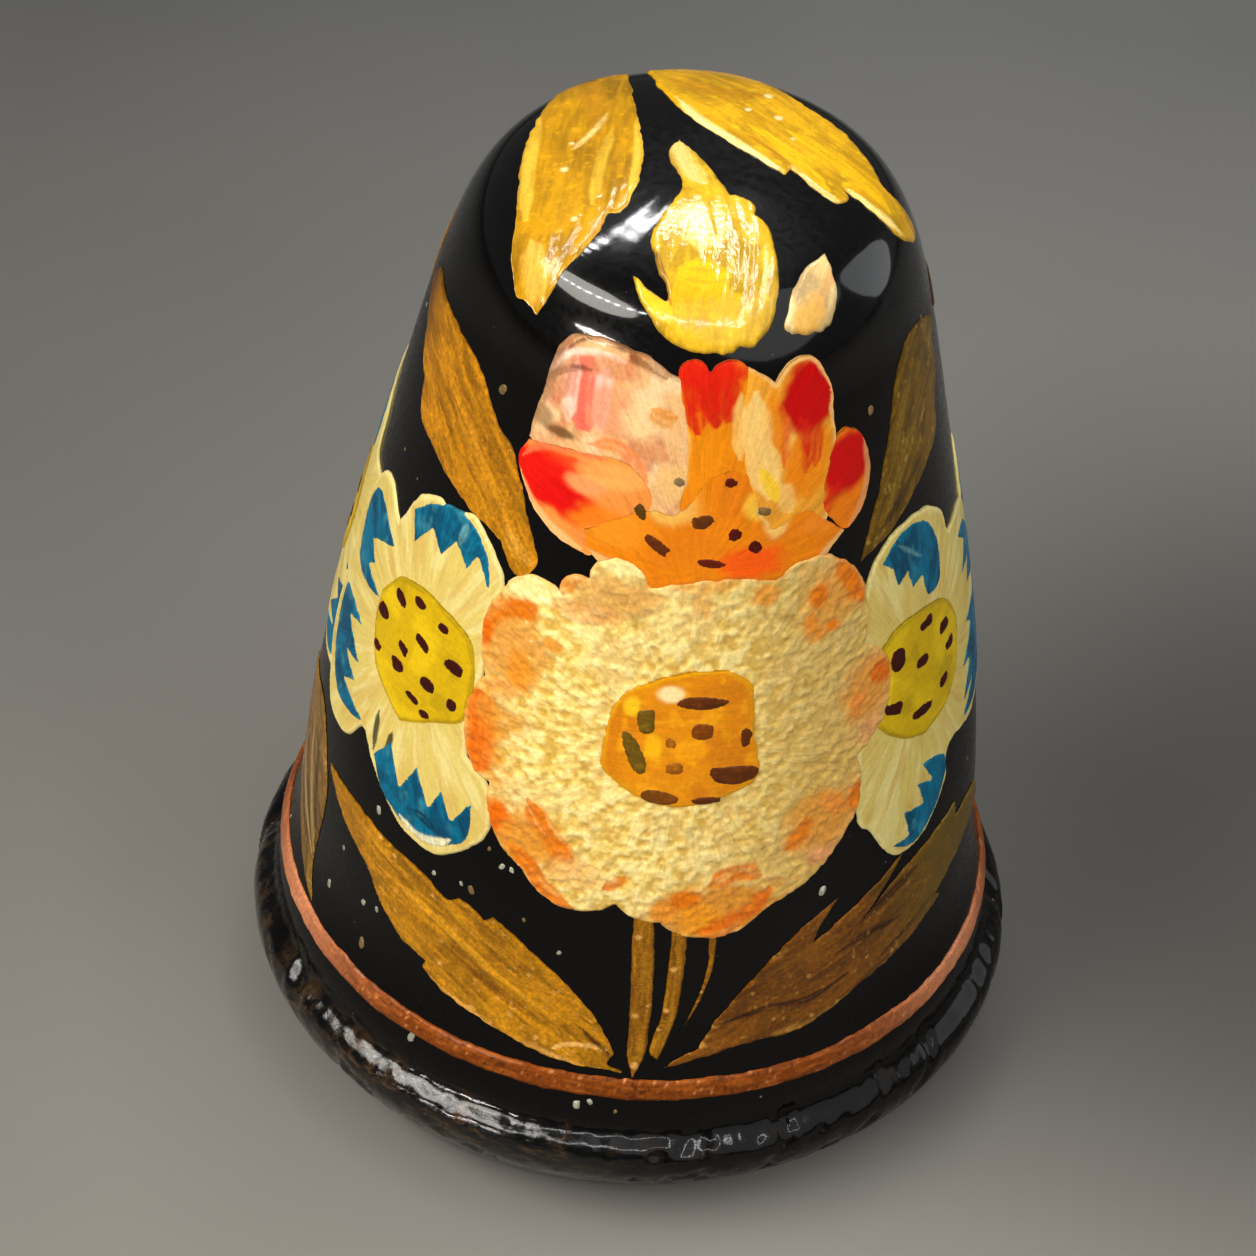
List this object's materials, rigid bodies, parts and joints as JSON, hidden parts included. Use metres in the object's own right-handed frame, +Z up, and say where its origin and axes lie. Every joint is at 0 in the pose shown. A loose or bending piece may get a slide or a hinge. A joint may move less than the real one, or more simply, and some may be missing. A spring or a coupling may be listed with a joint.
{
  "type": "painted lacquered wooden thimble",
  "caption": "Turned wooden thimble with a rounded foot bead and domed crown, black lacquer ground and khokhloma-style flowers and gold leaves.",
  "frame": {"origin": "centre of the open rim, on the surface the thimble stands on", "axes": "+Z up along the turning axis towards the crown, -Y towards the front of the main bouquet, +X to its right"},
  "size_m": [0.022, 0.022, 0.029],
  "materials": {
    "bare_wood": "bare turned limewood, fine grain, matt",
    "black_lacquer": "black lacquer ground under clear varnish, high gloss, small nicks",
    "blue_paint": "blue petal tips",
    "bright_gold_paint": "bright gold leaf strokes",
    "copper_paint": "copper-orange brushed line under varnish",
    "cream_paint": "cream petals in finger strokes",
    "cream_stipple": "thick pale gold stippled paint with peach lobes",
    "dark_dot_paint": "dark brown dabs",
    "leaf_gold_paint": "old gold leaf strokes, brushed, streaky",
    "orange_eye_paint": "orange flower eye",
    "tulip_orange": "orange brushwork",
    "tulip_pink": "pink and cream brushwork",
    "tulip_red": "red and orange brushwork",
    "yellow_eye_paint": "yellow flower eye"
  },
  "bodies": {
    "root": {"back_daisy_eye": "orange_eye_paint", "back_daisy_petals": "cream_stipple", "back_daisy_seeds": "dark_dot_paint", "back_lower_leaf_left": "leaf_gold_paint", "back_lower_leaf_right": "leaf_gold_paint", "back_stems": "leaf_gold_paint", "back_tulip_bowl": "tulip_orange", "back_tulip_centre_petal": "tulip_orange", "back_tulip_dots": "dark_dot_paint", "back_tulip_left_petal": "tulip_red", "back_tulip_pink_petal": "tulip_pink", "back_tulip_right_petal": "tulip_red", "back_tulip_upper_right_petal": "tulip_red", "back_upper_leaf_left": "leaf_gold_paint", "back_upper_leaf_right": "leaf_gold_paint", "black_lacquer": "black_lacquer", "blue_flower_far_left_blue_tips": "blue_paint", "blue_flower_far_left_eye": "yellow_eye_paint", "blue_flower_far_left_petals": "cream_paint", "blue_flower_far_left_seeds": "dark_dot_paint", "blue_flower_far_right_blue_tips": "blue_paint", "blue_flower_far_right_eye": "yellow_eye_paint", "blue_flower_far_right_petals": "cream_paint", "blue_flower_far_right_seeds": "dark_dot_paint", "blue_flower_left_blue_tips": "blue_paint", "blue_flower_left_eye": "yellow_eye_paint", "blue_flower_left_petals": "cream_paint", "blue_flower_left_seeds": "dark_dot_paint", "blue_flower_right_blue_tips": "blue_paint", "blue_flower_right_eye": "yellow_eye_paint", "blue_flower_right_petals": "cream_paint", "blue_flower_right_seeds": "dark_dot_paint", "copper_band": "copper_paint", "crown_leaf_centre": "bright_gold_paint", "crown_leaf_left": "bright_gold_paint", "crown_leaf_right": "bright_gold_paint", "crown_leaf_small": "bright_gold_paint", "daisy_eye": "orange_eye_paint", "daisy_petals": "cream_stipple", "daisy_seeds": "dark_dot_paint", "lower_leaf_far_left": "leaf_gold_paint", "lower_leaf_left": "leaf_gold_paint", "lower_leaf_right": "leaf_gold_paint", "stems": "leaf_gold_paint", "tulip_bowl": "tulip_orange", "tulip_centre_petal": "tulip_orange", "tulip_dots": "dark_dot_paint", "tulip_left_petal": "tulip_red", "tulip_pink_petal": "tulip_pink", "tulip_right_petal": "tulip_red", "tulip_upper_right_petal": "tulip_red", "upper_leaf_left": "leaf_gold_paint", "upper_leaf_right": "leaf_gold_paint", "wood_body": "bare_wood"}
  },
  "joints": []
}
